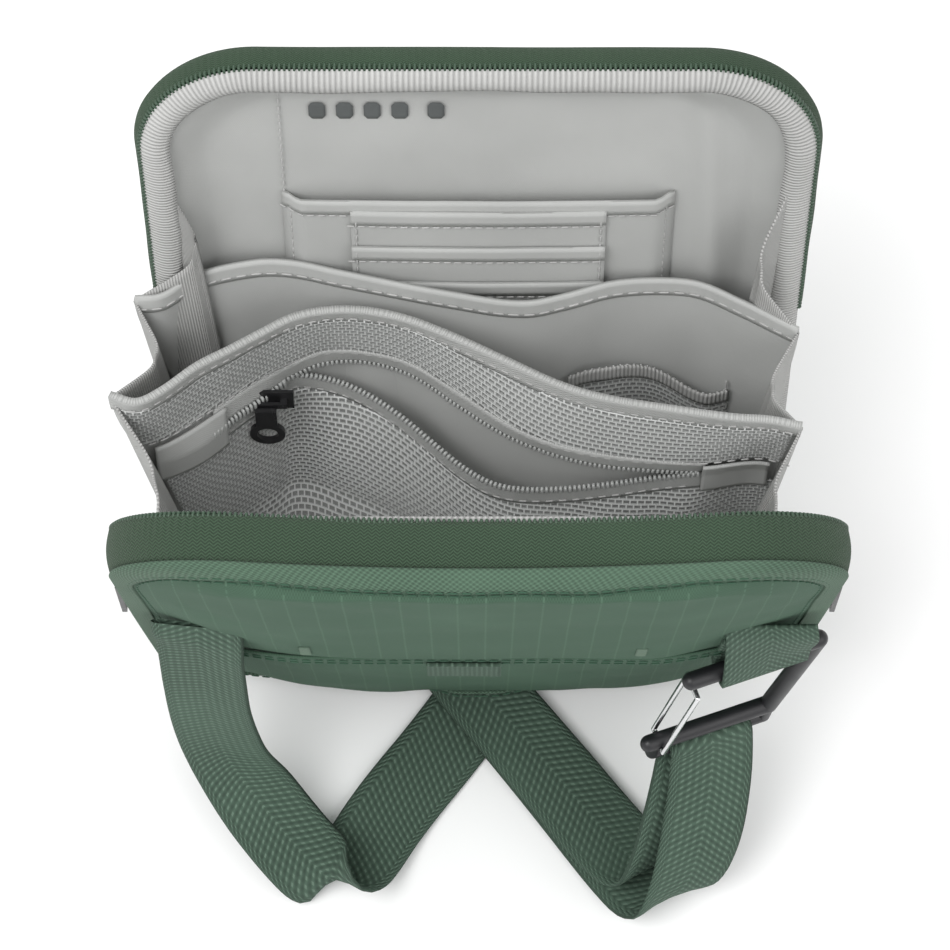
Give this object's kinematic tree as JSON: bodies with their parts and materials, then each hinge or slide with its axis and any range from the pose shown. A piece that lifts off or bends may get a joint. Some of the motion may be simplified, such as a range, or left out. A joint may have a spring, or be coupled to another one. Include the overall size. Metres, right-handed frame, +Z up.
{
  "type": "neck pouch wallet",
  "caption": "Open zipped travel pouch with an accordion of dividers, mesh pockets, card slots, a webbing neck strap and a wire-gate hook.",
  "frame": {"origin": "centre of the pouch's bounding box, on the surface that it stands on, measured without the strap", "axes": "+X to the right across the pouch seen from its front, +Y towards its rear half, +Z up"},
  "size_m": [0.174, 0.2445, 0.1861],
  "materials": {
    "shell": "sage green ripstop, matt",
    "trim": "green plain weave, matt",
    "zip_tape": "dark green knitted tape",
    "coil": "dark green nylon",
    "webbing": "green herringbone webbing",
    "lining": "light grey smooth lining",
    "grosgrain": "light grey ribbed binding",
    "mesh": "light grey hexagonal mesh",
    "foam": "thin foam padding",
    "film": "shielding film",
    "grey_coil": "light grey nylon",
    "slider": "black, satin",
    "hook_black": "matt black",
    "gate_steel": "polished wire",
    "adjuster": "black, matt",
    "thread": "dense stitching"
  },
  "bodies": {
    "pouch_front": {"front_lower_panel": "shell", "front_upper_layer": "shell", "front_trim_band": "trim", "front_zip_tape": "zip_tape", "front_zip_coil": "coil", "front_edge_binding": "grosgrain", "front_foam": "foam", "front_lining": "lining", "front_bar_tacks": "thread", "front_pull_tab": "webbing", "short_webbing_loop": "webbing", "base_panel": "shell", "gusset_left_front": "grosgrain", "gusset_right_front": "grosgrain", "strap_left_run": "webbing", "strap_right_run": "webbing", "strap_return_run": "webbing", "strap_coil": "webbing"},
    "zip_divider": {"zip_divider_cloth": "lining", "zip_divider_binding": "grosgrain", "upper_mesh_band": "mesh", "mesh_zip_upper_tape": "grosgrain", "mesh_zip_lower_tape": "grosgrain", "mesh_zip_coils": "grey_coil", "mesh_pocket_panel": "mesh", "zip_end_tabs": "grosgrain", "gusset_left_middle": "grosgrain", "gusset_right_middle": "grosgrain"},
    "mesh_zip_slider": {"mesh_zip_slider": "slider"},
    "mesh_zip_puller": {"mesh_zip_puller": "slider"},
    "pen_divider": {"pen_divider_cloth": "lining", "pen_divider_hem": "grosgrain", "pen_pocket_mesh": "mesh", "pen_pocket_binding": "grosgrain", "gusset_left_rear": "grosgrain", "gusset_right_rear": "grosgrain"},
    "rear_half": {"rear_outer_panel": "shell", "rear_trim_band": "trim", "rear_zip_tape": "zip_tape", "rear_zip_coil": "coil", "rear_edge_binding": "grosgrain", "rear_foam": "foam", "shielding_film": "film", "rear_lining": "lining", "passport_pocket": "lining", "card_tier_1": "lining", "card_tier_2": "lining", "card_tier_3": "lining"},
    "left_zip_slider": {"left_zip_slider": "slider"},
    "left_zip_puller": {"left_zip_puller": "slider"},
    "right_zip_slider": {"right_zip_slider": "slider"},
    "right_zip_puller": {"right_zip_puller": "slider"},
    "hook": {"hook_frame": "hook_black"},
    "gate": {"gate_wire": "gate_steel"},
    "strap_adjuster": {"strap_adjuster": "adjuster"}
  },
  "joints": [
    {"name": "zip_divider_lean", "type": "hinge", "parent": "pouch_front", "child": "zip_divider", "pos_m": [0, -0.011, 0.007], "axis": [1, 0, 0], "range_deg": [-1, 21], "deforming": ["gusset_left_front", "gusset_right_front"]},
    {"name": "pen_divider_lean", "type": "hinge", "parent": "zip_divider", "child": "pen_divider", "pos_m": [0, -0.003, 0.007], "axis": [1, 0, 0], "range_deg": [-1, 7.5], "deforming": ["gusset_left_middle", "gusset_right_middle"]},
    {"name": "rear_half_lean", "type": "hinge", "parent": "pen_divider", "child": "rear_half", "pos_m": [0, 0.005, 0.007], "axis": [1, 0, 0], "range_deg": [-6, 1], "deforming": ["gusset_left_rear", "gusset_right_rear"]},
    {"name": "mesh_slider_run", "type": "slide", "parent": "zip_divider", "child": "mesh_zip_slider", "axis": [1, 0, 0], "range_m": [0, 0.1]},
    {"name": "mesh_puller_swing", "type": "hinge", "parent": "mesh_zip_slider", "child": "mesh_zip_puller", "pos_m": [-0.0535, -0.0026, 0.07915], "axis": [0, -0.9806, 0.1959], "range_deg": [-60, 28]},
    {"name": "left_slider_run", "type": "slide", "parent": "pouch_front", "child": "left_zip_slider", "axis": [0, -0.1478, 0.989], "range_m": [0, 0.044]},
    {"name": "left_puller_swing", "type": "hinge", "parent": "left_zip_slider", "child": "left_zip_puller", "pos_m": [-0.0864, -0.03982, 0.10583], "axis": [1, 0, 0], "range_deg": [-50, 50]},
    {"name": "right_slider_run", "type": "slide", "parent": "pouch_front", "child": "right_zip_slider", "axis": [0, -0.1478, 0.989], "range_m": [0, 0.044]},
    {"name": "right_puller_swing", "type": "hinge", "parent": "right_zip_slider", "child": "right_zip_puller", "pos_m": [0.0864, -0.03982, 0.10583], "axis": [1, 0, 0], "range_deg": [-50, 50]},
    {"name": "hook_swing", "type": "hinge", "parent": "pouch_front", "child": "hook", "pos_m": [0.0677, -0.0552, 0.087], "axis": [0.9455, 0.3256, 0], "range_deg": [-20, 0], "deforming": ["strap_right_run", "strap_return_run"]},
    {"name": "gate_open", "type": "hinge", "parent": "hook", "child": "gate", "pos_m": [0.04543, -0.06579, 0.05111], "axis": [-0.3246, 0.9427, -0.0767], "range_deg": [0, 25], "stiffness_Nm_per_rad": 0.02, "springref_deg": -11.46},
    {"name": "strap_adjuster_run", "type": "slide", "parent": "pouch_front", "child": "strap_adjuster", "axis": [0, 1, 0], "range_m": [-0.002, 0.004]}
  ]
}
